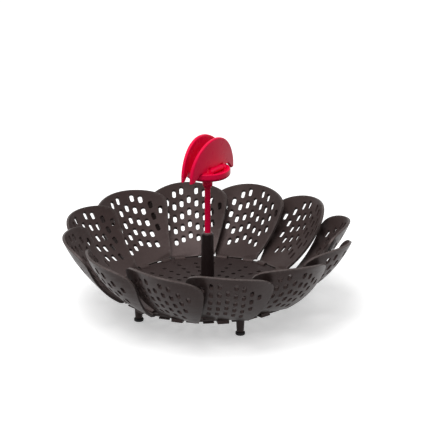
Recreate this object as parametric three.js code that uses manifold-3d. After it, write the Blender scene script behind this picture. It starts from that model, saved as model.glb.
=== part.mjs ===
// Folding steamer basket: twelve hinged petals round a perforated plate, with a telescopic lifting post.
// Millimetres, +Z up, origin under the middle of the plate on the surface that the feet stand on.
// The rest pose is the open basket with the post pulled out and the two handle leaves raised.
import * as THREE from 'three';
import { mergeVertices } from 'three/addons/utils/BufferGeometryUtils.js';
import Module from 'manifold-3d';

const wasm = await Module();
wasm.setup();

const degree = Math.PI / 180;
const fullTurn = Math.PI * 2;

// Clearances
const flatGap = 0.3;
const fitGap = 0.2;
const runningGap = 0.35;
const cutOverrun = 1;
const weldDistance = 1e-4;

// Base plate
const petalCount = 12;
const firstPetalTurn = 10.1;
const hingeRadius = 81.6;
const plateThickness = 2.4;
const footHeight = 20.3;
const plateHoleWidth = 3.6;
const plateHoleLength = 5;
const plateHoleLines = 24;
const plateHoleRowShares = [0.409, 0.542, 0.674, 0.805];
const plateInnerRowShare = 0.272;
const footPlaceShare = 0.89;
const hingeBarWidth = 2.4;

// Petal blade
const petalThickness = 2.4;
const petalLength = 85.5;
const petalHalfWidth = 39.6;
const petalSideGap = 1;
const shoulderShare = 0.698;
const sideEase = 1.38;
const rootLength = 2.3;
const openAngle = 27.8;
const profileBend = 38;
const skewAngle = 9.7;
const skewRampLength = 5.5;
const cupDepth = 16.7;
const cupEase = 0.6;
const probeShare = 0.1;

// Petal slots, counted from the middle column to the outer ones
const slotWidth = 3.8;
const slotLength = 7.9;
const slotSlant = 34;
const slotPitchShare = 0.151;
const columnPitchShare = 0.1855;
const slotLeanShare = 0.059;
const slotRowSlant = 4;
const slotStartShares = [0.336, 0.289, 0.25, 0.448, 0.652];
const slotCounts = [4, 5, 5, 3, 1];

// Petal hinge hooks and the tongue that stops the petal when it is open
const hookWall = 1.4;
const hookLength = 10.5;
const hookEndInset = 2;
const hookMouthStart = 200;
const hookMouthEnd = 300;
const tongueWidth = 11;
const tongueReach = 5.5;
const tonguePadLength = 2.4;
const tongueThickness = 1.6;
const tongueRootShare = 0.25;

// Centre tube, with its cap, washer and nut
const tubeHeight = 56.1;
const tubeTopRadius = 5.75;
const tubeFootRadius = 6.6;
const tubeBoreRadius = 4.1;
const tubeFlangeRadius = 9.5;
const tubeFlangeThickness = 1.8;
const stubRadius = 5.4;
const stubLength = 14;
const capRadius = 4.7;
const capHeight = 1.5;
const capChamfer = 0.5;
const capSpigotLength = 3.4;
const washerRadius = 9;
const washerThickness = 1;
const nutRadius = 9.2;
const nutThickness = 4.6;

// Lifting rod, with its collar, piston and friction ring
const rodRadius = 2.8;
const handleHeight = 114.3;
const collarRadius = 4.9;
const collarHeight = 13.3;
const collarBandHeight = 8.6;
const pistonLength = 9;
const pistonSpigotRadius = 1.3;
const pistonSpigotLength = 4;
const pistonTopGap = 0.5;
const ringGrooveDepth = 1.1;
const ringWidth = 2;

// Handle hub and leaves
const handleTurn = 53.6;
const hubRadius = 22;
const hubThickness = 8;
const hubLipWidth = 3;
const hubFloorThickness = 5.4;
const hubDishSlope = 2.5;
const hubChamfer = 2.4;
const hubSocketDepth = 2.2;
const leafHalfLength = 34;
const leafRise = 36.8;
const leafCentreHeight = 2.2;
const leafThickness = 3.4;
const leafBow = 3.4;
const leafPlaneOffset = 8.2;
const leafTipDrop = 7.4;
const leafTipWidth = 4.2;
const leafHubGap = 0.5;
const webShare = 0.25;
const pinOffset = 11.2;
const pinHeight = 8.8;
const pinRadius = 1;
const pinRecess = 0.8;
const barrelRadius = 2.2;
const barrelLength = 16;
const earThickness = 3;
const earRadius = 2.3;
const leafEndShare = 0.99;
const barrelPoints = 12;
const hubPoints = 36;
const earGap = 0.5;

// Feet
const footCount = 4;
const legTopRadius = 4.4;
const legBottomRadius = 3.4;
const studRadius = 1.8;
const padRadius = 4.6;
const padThickness = 3;
const padSocketDepth = 1.6;
const padSocketWall = 1.2;
const padChamfer = 0.6;

// Sizes worked out from the driving ones
const halfSector = Math.PI / petalCount;
const plateBottom = footHeight;
const plateTop = plateBottom + plateThickness;
const hingeLevel = plateBottom + plateThickness / 2;
const sideHalf = hingeRadius * Math.tan(halfSector);
const footRadiusOnPlate = hingeRadius * footPlaceShare;
const shoulderLength = petalLength * shoulderShare;
const slotPitch = petalLength * slotPitchShare;
const columnPitch = petalHalfWidth * columnPitchShare;
const petalRootHalf = sideHalf - petalSideGap;
const hookStart = petalRootHalf - hookEndInset - hookLength;
const barHalfDiagonal = Math.hypot(hingeBarWidth, plateThickness) / 2;
const hookBore = barHalfDiagonal + runningGap;
const hookRadius = hookBore + hookWall;
const windowInner = hingeRadius - hookRadius - runningGap;
const plateApothem = hingeRadius + hingeBarWidth / 2;
const tubeTop = hingeLevel + tubeHeight;
const hubBottom = hingeLevel + handleHeight;
const pistonTop = tubeTop - capSpigotLength - pistonTopGap;
const earStart = barrelLength / 2 + runningGap;
const pinLength = (earStart + earThickness - pinRecess) * 2;

const nylonBlack = new THREE.MeshStandardMaterial({ color: 0x3a3432, roughness: 0.5, metalness: 0 });
const tubeBlack = new THREE.MeshStandardMaterial({ color: 0x1c1614, roughness: 0.45, metalness: 0 });
const redPlastic = new THREE.MeshStandardMaterial({ color: 0xc80a32, roughness: 0.35, metalness: 0 });
const steel = new THREE.MeshStandardMaterial({ color: 0xb8b8ba, roughness: 0.3, metalness: 1 });
const silicone = new THREE.MeshStandardMaterial({ color: 0x2a2a2c, roughness: 0.8, metalness: 0 });

const lathePoints = 20;
const studPoints = 8;
const footPoints = 12;
const steamer = new THREE.Group();

// Turns a closed three.js geometry into a solid for cutting and joining
function solidOf(geometry) {
  const bare = geometry.index ? geometry.toNonIndexed() : geometry.clone();
  bare.deleteAttribute('normal');
  bare.deleteAttribute('uv');
  const merged = mergeVertices(bare, weldDistance);
  const mesh = new wasm.Mesh({
    numProp: 3,
    vertProperties: new Float32Array(merged.attributes.position.array),
    triVerts: new Uint32Array(merged.index.array),
  });
  return new wasm.Manifold(mesh);
}

// Turns a solid back into a geometry
function geometryOf(solid) {
  const mesh = solid.getMesh();
  const geometry = new THREE.BufferGeometry();
  geometry.setAttribute('position', new THREE.BufferAttribute(new Float32Array(mesh.vertProperties), 3));
  geometry.setIndex(new THREE.BufferAttribute(new Uint32Array(mesh.triVerts), 1));
  geometry.computeVertexNormals();
  return geometry;
}

function addPiece(parent, name, geometry, material) {
  const mesh = new THREE.Mesh(geometry, material);
  mesh.name = name;
  parent.add(mesh);
  return mesh;
}

// A turned solid from [radius, height] pairs, standing on Z
function turned(pairs, segments = lathePoints) {
  const points = pairs.map(([radius, height]) => new THREE.Vector2(radius, height));
  points.push(points[0].clone());
  const geometry = new THREE.LatheGeometry(points, segments);
  geometry.rotateX(Math.PI / 2);
  return geometryOf(solidOf(geometry));
}

// A block between two corners
function block(low, high) {
  const geometry = new THREE.BoxGeometry(high[0] - low[0], high[1] - low[1], high[2] - low[2]);
  geometry.translate((low[0] + high[0]) / 2, (low[1] + high[1]) / 2, (low[2] + high[2]) / 2);
  return geometry;
}

// A shape drawn on the XY plane and raised from one height to another
function raised(shape, low, high) {
  const geometry = new THREE.ExtrudeGeometry(shape, { depth: high - low, bevelEnabled: false });
  geometry.translate(0, 0, low);
  return geometry;
}

// Points given across and along, moved to a centre and turned anticlockwise
function placedPath(ring, x, y, turn) {
  return new THREE.Path(ring.map(([u, v]) => new THREE.Vector2(
    x + u * Math.cos(turn) - v * Math.sin(turn),
    y + u * Math.sin(turn) + v * Math.cos(turn),
  )));
}

// A six-sided slot round a centre, long along its own Y
function slotPath(x, y, width, length, turn) {
  const side = width / 2;
  const tip = length / 2;
  const shoulder = tip - side;
  const ring = [[-side, -shoulder], [0, -tip], [side, -shoulder], [side, shoulder], [0, tip], [-side, shoulder]];
  return placedPath(ring, x, y, turn);
}

// A rectangle round a centre, long along its own Y
function boxPath(x, y, width, length, turn) {
  const side = width / 2;
  const tip = length / 2;
  return placedPath([[-side, -tip], [side, -tip], [side, tip], [-side, tip]], x, y, turn);
}

// Base plate: a twelve-sided plate with hinge windows, steam holes, post hole and foot holes
function makeBasePlate() {
  const cornerRadius = plateApothem / Math.cos(halfSector);
  const corners = [];
  for (let side = 0; side < petalCount; side += 1) {
    const turn = (side + 0.5) * halfSector * 2;
    corners.push(new THREE.Vector2(cornerRadius * Math.cos(turn), cornerRadius * Math.sin(turn)));
  }
  const holes = [];
  for (let side = 0; side < petalCount; side += 1) {
    for (const hand of [-1, 1]) holes.push(windowPath(side * halfSector * 2, hand));
  }
  for (let line = 0; line < plateHoleLines; line += 1) {
    const turn = (line / plateHoleLines) * fullTurn;
    const shares = line % 2 === 0 ? [plateInnerRowShare, ...plateHoleRowShares] : plateHoleRowShares;
    for (const share of shares) {
      const radius = share * hingeRadius;
      const x = radius * Math.cos(turn);
      const y = radius * Math.sin(turn);
      holes.push(boxPath(x, y, plateHoleWidth, plateHoleLength, turn - Math.PI / 2));
    }
  }
  holes.push(circlePath(0, 0, stubRadius + runningGap));
  for (let foot = 0; foot < footCount; foot += 1) {
    const x = footRadiusOnPlate * Math.cos(footTurn(foot));
    const y = footRadiusOnPlate * Math.sin(footTurn(foot));
    holes.push(circlePath(x, y, studRadius + runningGap, studPoints));
  }
  const plate = solidOf(raised(new THREE.Shape(corners), plateBottom, plateTop));
  const cutters = holes.map((path) => solidOf(raised(
    new THREE.Shape(path.getPoints()),
    plateBottom - cutOverrun,
    plateTop + cutOverrun,
  )));
  return geometryOf(wasm.Manifold.difference([plate, ...cutters]));
}

// Opening inside a hinge bar for one of the two hooks
function windowPath(turn, hand) {
  const nearEnd = hand * (hookStart - runningGap);
  const farEnd = hand * (hookStart + hookLength + runningGap);
  const barFace = hingeRadius - hingeBarWidth / 2;
  const ring = [[windowInner, nearEnd], [barFace, nearEnd], [barFace, farEnd], [windowInner, farEnd]];
  if (hand < 0) ring.reverse();
  return new THREE.Path(ring.map(([r, s]) => new THREE.Vector2(
    r * Math.cos(turn) - s * Math.sin(turn),
    r * Math.sin(turn) + s * Math.cos(turn),
  )));
}

function circlePath(x, y, radius, points = lathePoints) {
  const ring = [];
  for (let step = 0; step < points; step += 1) {
    const turn = (step / points) * fullTurn;
    ring.push(new THREE.Vector2(x + radius * Math.cos(turn), y + radius * Math.sin(turn)));
  }
  return new THREE.Path(ring);
}

// Feet stand under corners of the plate, spread evenly
function footTurn(foot) {
  return halfSector + (foot / footCount) * fullTurn;
}

// Half width of the petal outline at a distance from the hinge line
function sideHalfWidth(length) {
  const share = Math.min(length / shoulderLength, 1);
  return petalRootHalf + (petalHalfWidth - petalRootHalf) * (1 - (1 - share) ** sideEase);
}

// Petal outline on the flat: X across, Y away from the hinge line
function petalOutline() {
  const sideSteps = 5;
  const tipSteps = 11;
  const points = [];
  for (let step = 0; step < sideSteps; step += 1) {
    const length = rootLength + (shoulderLength - rootLength) * (step / sideSteps);
    points.push(new THREE.Vector2(sideHalfWidth(length), length));
  }
  for (let step = 0; step <= tipSteps; step += 1) {
    const turn = Math.PI * (step / tipSteps);
    points.push(new THREE.Vector2(
      petalHalfWidth * Math.cos(turn),
      shoulderLength + (petalLength - shoulderLength) * Math.sin(turn),
    ));
  }
  for (let step = sideSteps - 1; step >= 0; step -= 1) {
    points.push(new THREE.Vector2(-points[step].x, points[step].y));
  }
  const outline = new THREE.Shape(points);
  slotCounts.forEach((count, column) => {
    for (const hand of column === 0 ? [1] : [-1, 1]) {
      const aside = hand * column * columnPitch;
      const start = slotStartShares[column] * petalLength - aside * Math.tan(slotRowSlant * degree);
      for (let row = 0; row < count; row += 1) {
        const length = start + row * slotPitch;
        const across = aside + slotLeanShare * length;
        outline.holes.push(slotPath(across, length, slotWidth, slotLength, -Math.atan(slotLeanShare)));
      }
    }
  });
  return outline;
}

// Point of the blade's middle surface in the petal's frame: X tangential, Y radial from the hinge, Z up
function bladePoint(across, length) {
  const share = length / petalLength;
  const bend = profileBend * degree;
  const startAngle = openAngle * degree;
  const angle = startAngle + bend * share;
  const turnRadius = petalLength / bend;
  const radial = turnRadius * (Math.sin(angle) - Math.sin(startAngle));
  const height = turnRadius * (Math.cos(startAngle) - Math.cos(angle));
  const ramp = Math.min(length / skewRampLength, 1);
  const easedRamp = ramp * ramp * (3 - 2 * ramp);
  const skew = across * Math.tan(skewAngle * degree) * easedRamp;
  const cup = cupDepth * (across / petalHalfWidth) ** 2 * Math.max(share, 0) ** cupEase;
  const lift = skew + cup;
  return new THREE.Vector3(across, radial - lift * Math.sin(angle), height + lift * Math.cos(angle));
}

// Point beside the middle surface, along its normal on the upper side
function bladeOffsetPoint(across, length, offset) {
  const probe = petalThickness * probeShare;
  const here = bladePoint(across, length);
  const alongAcross = bladePoint(across + probe, length).sub(here);
  const alongLength = bladePoint(across, length + probe).sub(here);
  const normal = alongAcross.cross(alongLength).normalize();
  return here.addScaledVector(normal, offset);
}

// Hook profile round the hinge bar, in the petal's Y and Z, open at the bottom
function hookProfile() {
  const steps = 6;
  const start = (hookMouthEnd - 360) * degree;
  const end = hookMouthStart * degree;
  const points = [];
  for (let step = 0; step <= steps; step += 1) {
    const turn = start + (end - start) * (step / steps);
    points.push(new THREE.Vector2(hookRadius * Math.cos(turn), hookRadius * Math.sin(turn)));
  }
  for (let step = steps; step >= 0; step -= 1) {
    const turn = start + (end - start) * (step / steps);
    points.push(new THREE.Vector2(hookBore * Math.cos(turn), hookBore * Math.sin(turn)));
  }
  return new THREE.Shape(points);
}

// Stretches a profile drawn in Y and Z along X
function stretchedAlongX(shape, low, high) {
  const geometry = new THREE.ExtrudeGeometry(shape, { depth: high - low, bevelEnabled: false });
  const turn = new THREE.Matrix4().makeBasis(
    new THREE.Vector3(0, 1, 0),
    new THREE.Vector3(0, 0, 1),
    new THREE.Vector3(1, 0, 0),
  );
  geometry.applyMatrix4(turn);
  geometry.translate(low, 0, 0);
  return geometry;
}

// Tongue profile: down outside the hinge bar, then inward under the plate to a stop pad
function tongueProfile() {
  const bladeRoot = bladePoint(0, rootLength);
  const rootInset = petalThickness * tongueRootShare;
  const outer = hookBore + hookWall;
  const low = -plateThickness / 2 - runningGap - hookWall / 2 - tongueThickness;
  const padTop = -plateThickness / 2 - flatGap;
  const points = [
    [bladeRoot.y - rootInset, bladeRoot.z + rootInset],
    [hookBore, 0],
    [hookBore, low + tongueThickness],
    [-tongueReach + tonguePadLength, low + tongueThickness],
    [-tongueReach + tonguePadLength, padTop],
    [-tongueReach, padTop],
    [-tongueReach, low],
    [outer, low],
    [outer, 0],
    [bladeRoot.y + rootInset, bladeRoot.z - rootInset],
  ];
  return new THREE.Shape(points.map(([y, z]) => new THREE.Vector2(y, z)));
}

// Petal in its own frame, with the hinge axis along X through the origin
// The slots lean: on their way out through the blade they come nearer to the hinge
function makePetal() {
  const outline = petalOutline();
  const rim = outline.getPoints();
  const flat = new THREE.ExtrudeGeometry(outline, { depth: petalThickness, bevelEnabled: false });
  const position = flat.attributes.position;
  for (let index = 0; index < position.count; index += 1) {
    const across = position.getX(index);
    const length = position.getY(index);
    const offset = position.getZ(index) - petalThickness / 2;
    const onRim = rim.some((spot) => Math.hypot(spot.x - across, spot.y - length) < weldDistance);
    const shift = onRim ? 0 : (offset - petalThickness / 2) * Math.tan(slotSlant * degree);
    const point = bladeOffsetPoint(across, length + shift, offset);
    position.setXYZ(index, point.x, point.y, point.z);
  }
  let solid = solidOf(flat);
  for (const hand of [-1, 1]) {
    const low = hand > 0 ? hookStart : -hookStart - hookLength;
    solid = solid.add(solidOf(stretchedAlongX(hookProfile(), low, low + hookLength)));
  }
  solid = solid.add(solidOf(stretchedAlongX(tongueProfile(), -tongueWidth / 2, tongueWidth / 2)));
  return geometryOf(solid);
}

// Centre tube: flange on the plate, stub through it, open at both ends
function makeTube() {
  return turned([
    [tubeBoreRadius, plateBottom - stubLength],
    [stubRadius, plateBottom - stubLength],
    [stubRadius, plateTop],
    [tubeFlangeRadius, plateTop],
    [tubeFlangeRadius, plateTop + tubeFlangeThickness],
    [tubeFootRadius, plateTop + tubeFlangeThickness],
    [tubeTopRadius, tubeTop],
    [tubeBoreRadius, tubeTop],
  ]);
}

// Cap in the tube's mouth, which guides the rod and stops the piston
function makeCap() {
  const bore = rodRadius + runningGap;
  return turned([
    [bore, tubeTop - capSpigotLength],
    [tubeBoreRadius - fitGap, tubeTop - capSpigotLength],
    [tubeBoreRadius - fitGap, tubeTop],
    [capRadius, tubeTop],
    [capRadius, tubeTop + capHeight - capChamfer],
    [capRadius - capChamfer, tubeTop + capHeight],
    [bore, tubeTop + capHeight],
  ]);
}

function makeWasher() {
  return turned([
    [stubRadius + fitGap, plateBottom - washerThickness],
    [washerRadius, plateBottom - washerThickness],
    [washerRadius, plateBottom],
    [stubRadius + fitGap, plateBottom],
  ]);
}

function makeNut() {
  const sides = 6;
  const top = plateBottom - washerThickness;
  const body = raised(new THREE.Shape(circlePath(0, 0, nutRadius, sides).getPoints()), top - nutThickness, top);
  const bore = new THREE.Shape(circlePath(0, 0, stubRadius + fitGap).getPoints());
  const cutter = raised(bore, top - nutThickness - cutOverrun, top + cutOverrun);
  return geometryOf(solidOf(body).subtract(solidOf(cutter)));
}

// Lifting rod: collar and hub spigot at the top, piston spigot at the bottom
function makeRod() {
  return turned([
    [0, pistonTop - pistonSpigotLength],
    [pistonSpigotRadius, pistonTop - pistonSpigotLength],
    [pistonSpigotRadius, pistonTop],
    [rodRadius, pistonTop],
    [rodRadius, hubBottom - collarHeight],
    [collarRadius, hubBottom - collarBandHeight],
    [collarRadius, hubBottom],
    [rodRadius, hubBottom],
    [rodRadius, hubBottom + hubSocketDepth - fitGap],
    [0, hubBottom + hubSocketDepth - fitGap],
  ]);
}

// Piston on the rod's lower end, with a groove for the friction ring
function makePiston() {
  const radius = tubeBoreRadius - runningGap;
  const low = pistonTop - pistonLength;
  const grooveLow = pistonTop - pistonLength / 2 - ringWidth / 2 - fitGap;
  const grooveHigh = grooveLow + ringWidth + fitGap * 2;
  return turned([
    [0, low],
    [radius, low],
    [radius, grooveLow],
    [radius - ringGrooveDepth, grooveLow],
    [radius - ringGrooveDepth, grooveHigh],
    [radius, grooveHigh],
    [radius, pistonTop],
    [pistonSpigotRadius + fitGap, pistonTop],
    [pistonSpigotRadius + fitGap, pistonTop - pistonSpigotLength - fitGap],
    [0, pistonTop - pistonSpigotLength - fitGap],
  ]);
}

function makeFrictionRing() {
  const inner = tubeBoreRadius - runningGap - ringGrooveDepth + fitGap;
  const outer = tubeBoreRadius - fitGap;
  const low = pistonTop - pistonLength / 2 - ringWidth / 2;
  return turned([[inner, low], [outer, low], [outer, low + ringWidth], [inner, low + ringWidth]]);
}

// A round bar along X between two places, at a height and a place along Y
function barAlongX(radius, low, high, y, z, points = barrelPoints) {
  const geometry = stretchedAlongX(new THREE.Shape(circlePath(y, z, radius, points).getPoints()), low, high);
  return solidOf(geometry);
}

// Handle hub: a dish with two pairs of ears for the leaf pins
function makeHub() {
  const socket = rodRadius + fitGap;
  let solid = solidOf(turned([
    [0, hubSocketDepth],
    [socket, hubSocketDepth],
    [socket, 0],
    [hubRadius - hubChamfer, 0],
    [hubRadius, hubChamfer],
    [hubRadius, hubThickness],
    [hubRadius - hubLipWidth, hubThickness],
    [hubRadius - hubLipWidth - hubDishSlope, hubFloorThickness],
    [0, hubFloorThickness],
  ], hubPoints));
  for (const side of [-1, 1]) {
    for (const end of [-1, 1]) {
      const near = end > 0 ? earStart : -earStart - earThickness;
      const top = barAlongX(earRadius, near, near + earThickness, side * pinOffset, pinHeight);
      const post = solidOf(block(
        [near, side * pinOffset - earRadius, hubFloorThickness - hubChamfer],
        [near + earThickness, side * pinOffset + earRadius, pinHeight],
      ));
      solid = solid.add(top).add(post);
    }
    const reach = pinLength / 2 + cutOverrun;
    solid = solid.subtract(barAlongX(pinRadius + fitGap, -reach, reach, side * pinOffset, pinHeight));
  }
  return geometryOf(solid);
}

// Cuts the leaf's foot clear of the hub and leaves a tip that narrows downwards at each end
function leafFootCutter(low, high, reach) {
  const topHalf = hubRadius + leafHubGap;
  const slope = (leafHalfLength - leafTipWidth - topHalf) / (high - low);
  const bottom = low - cutOverrun;
  const bottomHalf = topHalf + slope * (high - bottom);
  const ring = [[-bottomHalf, bottom], [bottomHalf, bottom], [topHalf, high], [-topHalf, high]];
  const shape = new THREE.Shape(ring.map(([along, height]) => new THREE.Vector2(along, height)));
  const geometry = raised(shape, -reach, 0);
  geometry.rotateX(Math.PI / 2);
  return solidOf(geometry);
}

// Leaf in the hub's frame on the +Y side: a bowed half disc on a hinge barrel
function makeLeaf() {
  const columns = 16;
  const rows = 4;
  const centre = leafCentreHeight;
  const low = pinHeight - leafTipDrop;
  const sheet = new THREE.BoxGeometry(1, 1, 1, columns, rows, 1);
  const position = sheet.attributes.position;
  for (let index = 0; index < position.count; index += 1) {
    const along = position.getX(index) * 2 * leafEndShare;
    const up = position.getY(index) + 1 / 2;
    const top = centre + leafRise * Math.sqrt(1 - along * along);
    const plane = leafPlaneOffset - leafBow * along * along;
    position.setXYZ(index, along * leafHalfLength, plane - position.getZ(index) * leafThickness, low + (top - low) * up);
  }
  const gapTop = pinHeight - earGap;
  const reach = leafPlaneOffset + leafThickness + pinOffset;
  let solid = solidOf(sheet);
  solid = solid.subtract(leafFootCutter(low, gapTop, reach));
  for (const end of [-1, 1]) {
    const near = end > 0 ? earStart - runningGap : -earStart - earThickness - runningGap;
    const far = near + earThickness + runningGap * 2;
    solid = solid.subtract(solidOf(block([near, 0, low], [far, reach, pinHeight + earRadius + runningGap])));
  }
  const half = barrelLength / 2;
  const web = block(
    [-half, leafPlaneOffset - leafThickness * webShare, pinHeight - earGap],
    [half, pinOffset, pinHeight + barrelRadius],
  );
  solid = solid.add(solidOf(web)).add(barAlongX(barrelRadius, -half, half, pinOffset, pinHeight));
  solid = solid.subtract(barAlongX(pinRadius + fitGap, -half - cutOverrun, half + cutOverrun, pinOffset, pinHeight));
  return geometryOf(solid);
}

function makePin() {
  return geometryOf(barAlongX(pinRadius, -pinLength / 2, pinLength / 2, pinOffset, pinHeight));
}

// Foot: a tapered leg whose stud passes through the plate, with a soft pad on its end
function makeLeg() {
  return turned([
    [0, padThickness - padSocketDepth],
    [legBottomRadius - padSocketWall, padThickness - padSocketDepth],
    [legBottomRadius - padSocketWall, padThickness],
    [legBottomRadius, padThickness],
    [legTopRadius, plateBottom],
    [studRadius, plateBottom],
    [studRadius, plateTop],
    [0, plateTop],
  ], footPoints);
}

function makePad() {
  const socket = legBottomRadius - padSocketWall + fitGap;
  return turned([
    [0, 0],
    [padRadius - padChamfer, 0],
    [padRadius, padChamfer],
    [padRadius, padThickness - flatGap],
    [socket, padThickness - flatGap],
    [socket, padThickness - padSocketDepth - fitGap],
    [0, padThickness - padSocketDepth - fitGap],
  ], footPoints);
}

// Plate, post and feet
const plateGroup = new THREE.Group();
plateGroup.rotation.z = firstPetalTurn * degree;
steamer.add(plateGroup);
addPiece(plateGroup, 'base_plate', makeBasePlate(), nylonBlack);
addPiece(steamer, 'centre_tube', makeTube(), tubeBlack);
addPiece(steamer, 'tube_cap', makeCap(), tubeBlack);
addPiece(steamer, 'tube_washer', makeWasher(), steel);
addPiece(steamer, 'tube_nut', makeNut(), tubeBlack);
for (let foot = 0; foot < footCount; foot += 1) {
  const spot = new THREE.Group();
  spot.position.set(footRadiusOnPlate * Math.cos(footTurn(foot)), footRadiusOnPlate * Math.sin(footTurn(foot)), 0);
  plateGroup.add(spot);
  addPiece(spot, `foot_leg_${foot + 1}`, makeLeg(), nylonBlack);
  addPiece(spot, `foot_pad_${foot + 1}`, makePad(), silicone);
}

// Petals, clockwise seen from above, each hinged on its side of the plate
for (let petal = 0; petal < petalCount; petal += 1) {
  const sector = new THREE.Group();
  sector.rotation.z = firstPetalTurn * degree - petal * halfSector * 2;
  steamer.add(sector);
  const name = `petal_${String(petal + 1).padStart(2, '0')}`;
  addPiece(sector, name, makePetal(), nylonBlack).position.set(0, hingeRadius, hingeLevel);
}

// Rod with its piston, and the handle on top
addPiece(steamer, 'lift_rod', makeRod(), redPlastic);
addPiece(steamer, 'rod_piston', makePiston(), tubeBlack);
addPiece(steamer, 'friction_ring', makeFrictionRing(), silicone);
const handle = new THREE.Group();
handle.position.z = hubBottom;
handle.rotation.z = handleTurn * degree;
steamer.add(handle);
addPiece(handle, 'handle_hub', makeHub(), redPlastic);
for (const [side, turn] of [['rear', 0], ['front', Math.PI]]) {
  const half = new THREE.Group();
  half.rotation.z = turn;
  handle.add(half);
  addPiece(half, `${side}_leaf`, makeLeaf(), redPlastic);
  addPiece(half, `${side}_leaf_pin`, makePin(), steel);
}

export default steamer;
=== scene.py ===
import bpy
import bmesh
import math
from mathutils import Matrix, Vector
from mathutils.kdtree import KDTree


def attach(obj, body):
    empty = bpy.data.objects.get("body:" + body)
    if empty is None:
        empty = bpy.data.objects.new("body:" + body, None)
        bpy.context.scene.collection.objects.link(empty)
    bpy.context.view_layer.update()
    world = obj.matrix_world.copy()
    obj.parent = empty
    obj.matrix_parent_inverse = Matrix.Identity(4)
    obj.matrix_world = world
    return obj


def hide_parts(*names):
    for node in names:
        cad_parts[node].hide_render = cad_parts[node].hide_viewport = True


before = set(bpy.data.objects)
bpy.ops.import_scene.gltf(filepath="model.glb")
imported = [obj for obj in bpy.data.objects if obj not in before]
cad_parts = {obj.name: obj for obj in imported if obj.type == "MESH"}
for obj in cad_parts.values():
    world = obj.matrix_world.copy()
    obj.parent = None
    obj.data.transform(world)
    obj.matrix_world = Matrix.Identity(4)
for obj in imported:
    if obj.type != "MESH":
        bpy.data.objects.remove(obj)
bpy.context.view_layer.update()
print("frame loaded")

mm = 0.001  # sizes in the dictionaries are millimetres
white = (1, 1, 1, 1)


# Small tools

shading = {"smoothAngle": 38, "faceWeight": 60, "mergeDistance": 0.0005}


def deselectAll():
    if bpy.context.object and bpy.context.object.mode != "OBJECT":
        bpy.ops.object.mode_set(mode="OBJECT")
    bpy.ops.object.select_all(action="DESELECT")


def workOn(obj):
    deselectAll()
    obj.select_set(True)
    bpy.context.view_layer.objects.active = obj


def applyModifiers(obj):
    workOn(obj)
    for modifier in list(obj.modifiers):
        bpy.ops.object.modifier_apply(modifier=modifier.name)


def joinInto(obj, others):
    workOn(obj)
    for other in others:
        other.select_set(True)
    bpy.ops.object.join()
    return obj


def cleanNormals(obj, distance=shading["mergeDistance"]):
    workOn(obj)
    bpy.ops.object.mode_set(mode="EDIT")
    bpy.ops.mesh.select_all(action="SELECT")
    bpy.ops.mesh.remove_doubles(threshold=distance)
    bpy.ops.mesh.normals_make_consistent(inside=False)
    bpy.ops.object.mode_set(mode="OBJECT")


def softShade(obj):
    workOn(obj)
    bpy.ops.object.shade_smooth_by_angle(angle=math.radians(shading["smoothAngle"]))
    weighted = obj.modifiers.new("weighted", "WEIGHTED_NORMAL")
    weighted.keep_sharp = True
    weighted.weight = shading["faceWeight"]
    applyModifiers(obj)


def roundEdges(obj, width, segments=3, angle=35):
    bevel = obj.modifiers.new("rounding", "BEVEL")
    bevel.width = width
    bevel.segments = segments
    bevel.limit_method = "ANGLE"
    bevel.angle_limit = math.radians(angle)
    bevel.harden_normals = False
    applyModifiers(obj)


def place(obj, matrix):  # the place goes into the mesh, the object stays at the origin
    obj.data.transform(obj.matrix_world)
    obj.matrix_world = Matrix.Identity(4)
    obj.data.transform(matrix @ Matrix.Scale(mm, 4))
    obj.data.update()


def dress(obj, name, body, material, nodes=()):
    obj.name = name
    obj.data.name = name
    obj.data.materials.clear()
    obj.data.materials.append(material)
    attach(obj, body)
    if nodes:
        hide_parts(*nodes)
    return obj


def newObject(name, data):
    obj = bpy.data.objects.new(name, data)
    bpy.context.scene.collection.objects.link(obj)
    return obj


def copyPiece(obj):
    twin = obj.copy()
    twin.data = obj.data.copy()
    bpy.context.scene.collection.objects.link(twin)
    return twin


def loopAt(points):
    # a closed ring of points, added to the mesh that is being edited
    mesh = bpy.context.object.data
    bpy.ops.mesh.select_all(action="DESELECT")
    bpy.ops.mesh.primitive_circle_add(vertices=len(points), radius=1, location=(0, 0, 0))
    edit = bmesh.from_edit_mesh(mesh)
    ring = [vert for vert in edit.verts if vert.select]
    for vert, point in zip(ring, points):
        vert.co = (point[0], point[1], 0)
    bmesh.update_edit_mesh(mesh)


def startOutline(name, points):
    deselectAll()
    bpy.ops.mesh.primitive_circle_add(vertices=len(points), radius=1, location=(0, 0, 0))
    obj = bpy.context.object
    obj.name = name
    for vert, point in zip(obj.data.vertices, points):
        vert.co = (point[0], point[1], 0)
    bpy.ops.object.mode_set(mode="EDIT")
    return obj


def ovalHole(width, length, turn, sides, places):
    # one rounded hole, long along Y and turned, then copied from place to place
    mesh = bpy.context.object.data
    x, y = places[0]
    bpy.ops.mesh.select_all(action="DESELECT")
    bpy.ops.mesh.primitive_circle_add(vertices=sides, radius=width / 2, location=(x, y, 0))
    edit = bmesh.from_edit_mesh(mesh)
    ring = [vert for vert in edit.verts if vert.select]
    stretch = (length - width) / 2
    for vert in ring:
        vert.co.y += stretch if vert.co.y > y else -stretch
        away = Vector((vert.co.x - x, vert.co.y - y))
        vert.co.x = x + away.x * math.cos(turn) - away.y * math.sin(turn)
        vert.co.y = y + away.x * math.sin(turn) + away.y * math.cos(turn)
    bmesh.update_edit_mesh(mesh)
    for (fromX, fromY), (toX, toY) in zip(places, places[1:]):
        bpy.ops.mesh.duplicate_move(TRANSFORM_OT_translate={"value": (toX - fromX, toY - fromY, 0)})


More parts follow.
